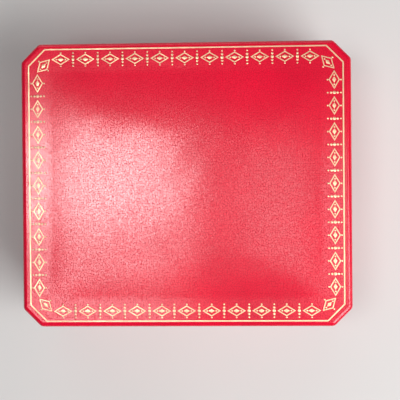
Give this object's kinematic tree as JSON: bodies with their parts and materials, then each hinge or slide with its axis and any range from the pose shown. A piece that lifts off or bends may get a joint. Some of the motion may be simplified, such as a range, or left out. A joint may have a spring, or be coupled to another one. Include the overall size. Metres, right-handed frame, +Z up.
{
  "type": "keepsake box",
  "caption": "Leather-covered keepsake box with cut corners, a padded gold-ruled lid on stop hinges, a push-button catch and a lined well.",
  "frame": {"origin": "on the table under the middle of the box's plan, at the underside of the felt", "axes": "+X along the longer side to the right, +Y to the rear where the hinges are, +Z up"},
  "size_m": [0.165, 0.144, 0.0648],
  "materials": {
    "red_leather": "grained, semi-gloss",
    "carcass_wood": "sawn",
    "lining_suede": "suede nap",
    "lid_satin": "satin",
    "wadding": "soft",
    "felt": "felt",
    "card": "plain",
    "brass": "polished",
    "spring_steel": "bright"
  },
  "bodies": {
    "base": {"base_front_board": "carcass_wood", "base_rear_board": "carcass_wood", "base_left_board": "carcass_wood", "base_right_board": "carcass_wood", "base_floor_board": "carcass_wood", "base_leather_cover": "red_leather", "underside_felt": "felt", "underside_card": "card", "base_front_lining": "lining_suede", "base_rear_lining": "lining_suede", "base_left_lining": "lining_suede", "base_right_lining": "lining_suede", "floor_cushion": "lining_suede", "left_hinge_base_leaf": "brass", "right_hinge_base_leaf": "brass", "left_hinge_pin": "brass", "right_hinge_pin": "brass", "base_hinge_screws": "brass", "button_bezel": "brass", "catch_face_plate": "brass", "catch_face_plate_screws": "brass", "catch_cover": "brass", "catch_cover_screws": "brass", "catch_spring": "spring_steel"},
    "lid": {"lid_front_board": "carcass_wood", "lid_rear_board": "carcass_wood", "lid_left_board": "carcass_wood", "lid_right_board": "carcass_wood", "lid_top_board": "carcass_wood", "lid_padding": "wadding", "lid_leather_cover": "red_leather", "lid_front_lining": "lining_suede", "lid_rear_lining": "lining_suede", "lid_left_lining": "lining_suede", "lid_right_lining": "lining_suede", "lid_cushion": "lid_satin", "left_hinge_lid_leaf": "brass", "right_hinge_lid_leaf": "brass", "lid_hinge_screws": "brass", "strike": "brass", "strike_screws": "brass"},
    "button": {"push_button": "brass", "catch_plate": "brass"}
  },
  "joints": [
    {"name": "lid_hinge", "type": "hinge", "parent": "base", "child": "lid", "pos_m": [0, 0.0675, 0.04015], "axis": [-1, 0, 0], "range_deg": [0, 95]},
    {"name": "button_press", "type": "slide", "parent": "base", "child": "button", "axis": [0, 1, 0], "range_m": [0, 0.0014], "stiffness_N_per_m": 1000, "springref_m": -0.0015, "deforming": ["catch_spring"]}
  ]
}
